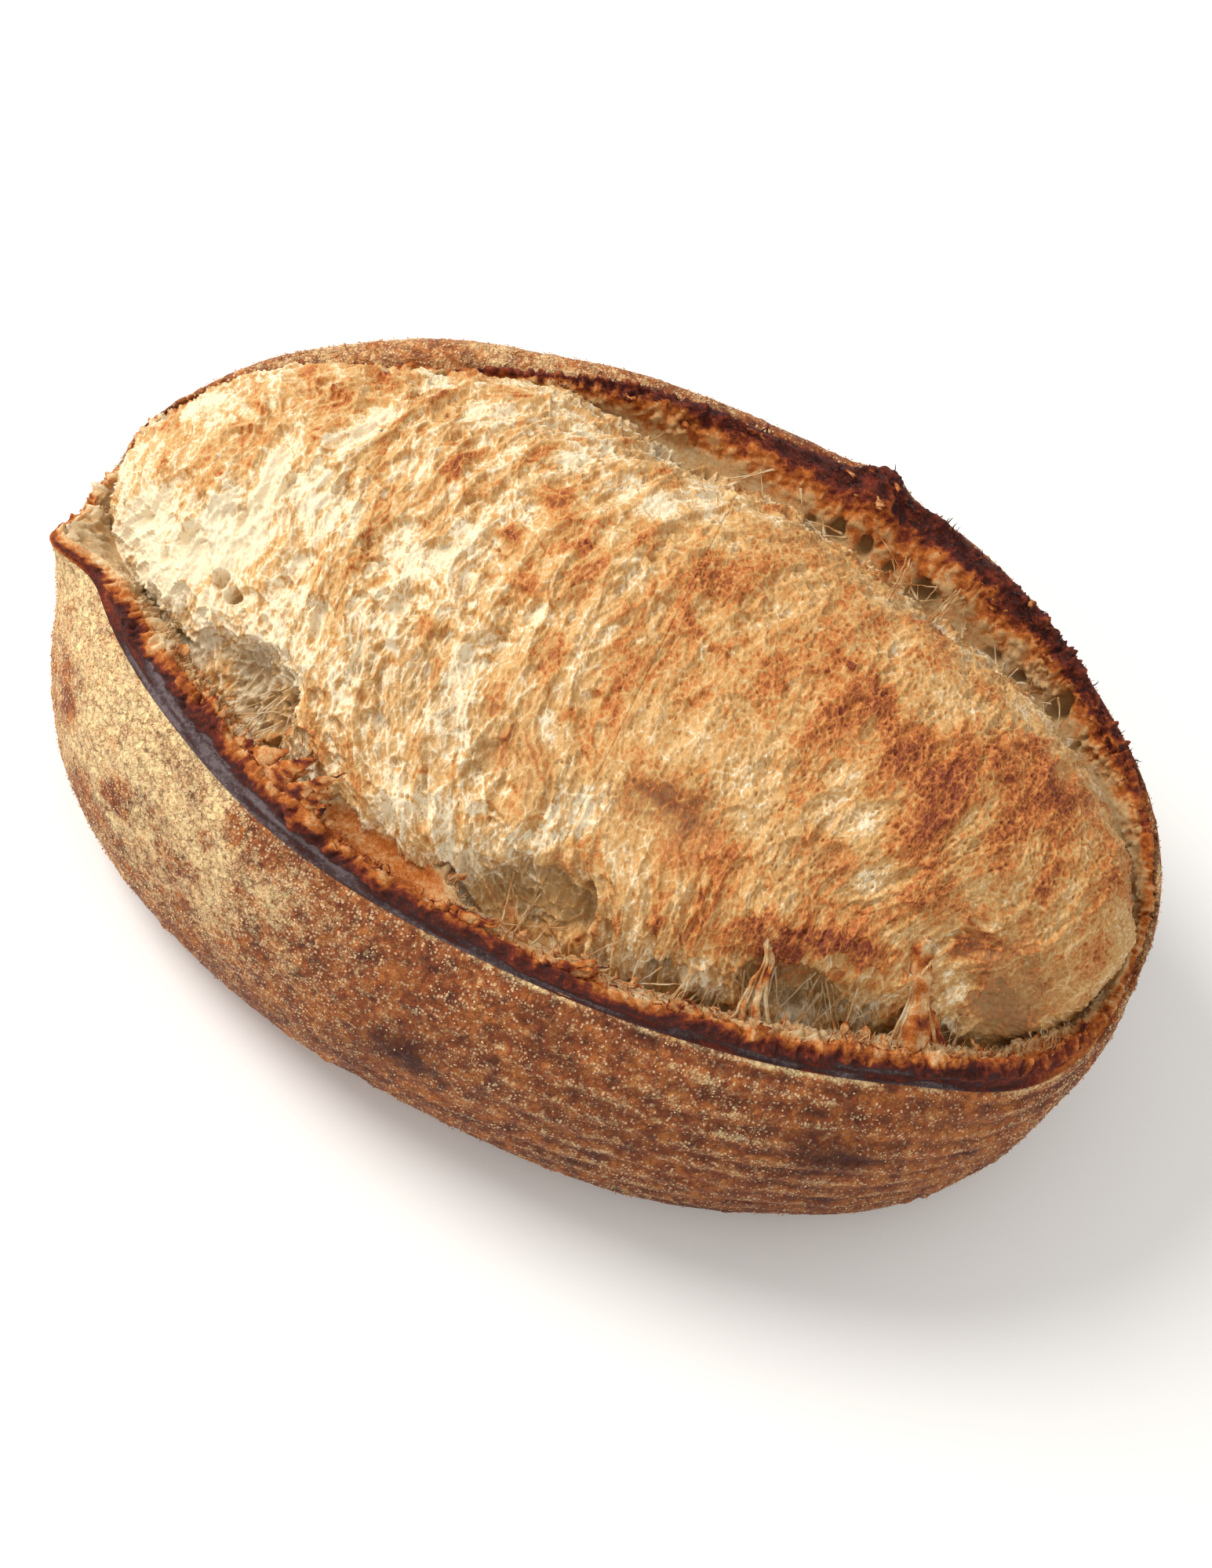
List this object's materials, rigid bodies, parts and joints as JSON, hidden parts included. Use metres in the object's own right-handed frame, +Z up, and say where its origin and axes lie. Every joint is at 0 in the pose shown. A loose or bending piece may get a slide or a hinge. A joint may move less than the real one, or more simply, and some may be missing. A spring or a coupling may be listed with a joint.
{
  "type": "sourdough loaf",
  "caption": "Oval hearth loaf with a flat base, a floured crust and one long score that opened wide, with a torn, charred lip round a domed bloom of crumb.",
  "frame": {"origin": "centre of the bounding box at the flat base", "axes": "+Z up, +X along the loaf's length towards the end where the near lip runs out, -Y towards the wide band of floured crust"},
  "size_m": [0.2501, 0.164, 0.0997],
  "materials": {
    "crust": null,
    "crumb": null
  },
  "bodies": {
    "root": {"loaf": "crust"}
  },
  "joints": []
}
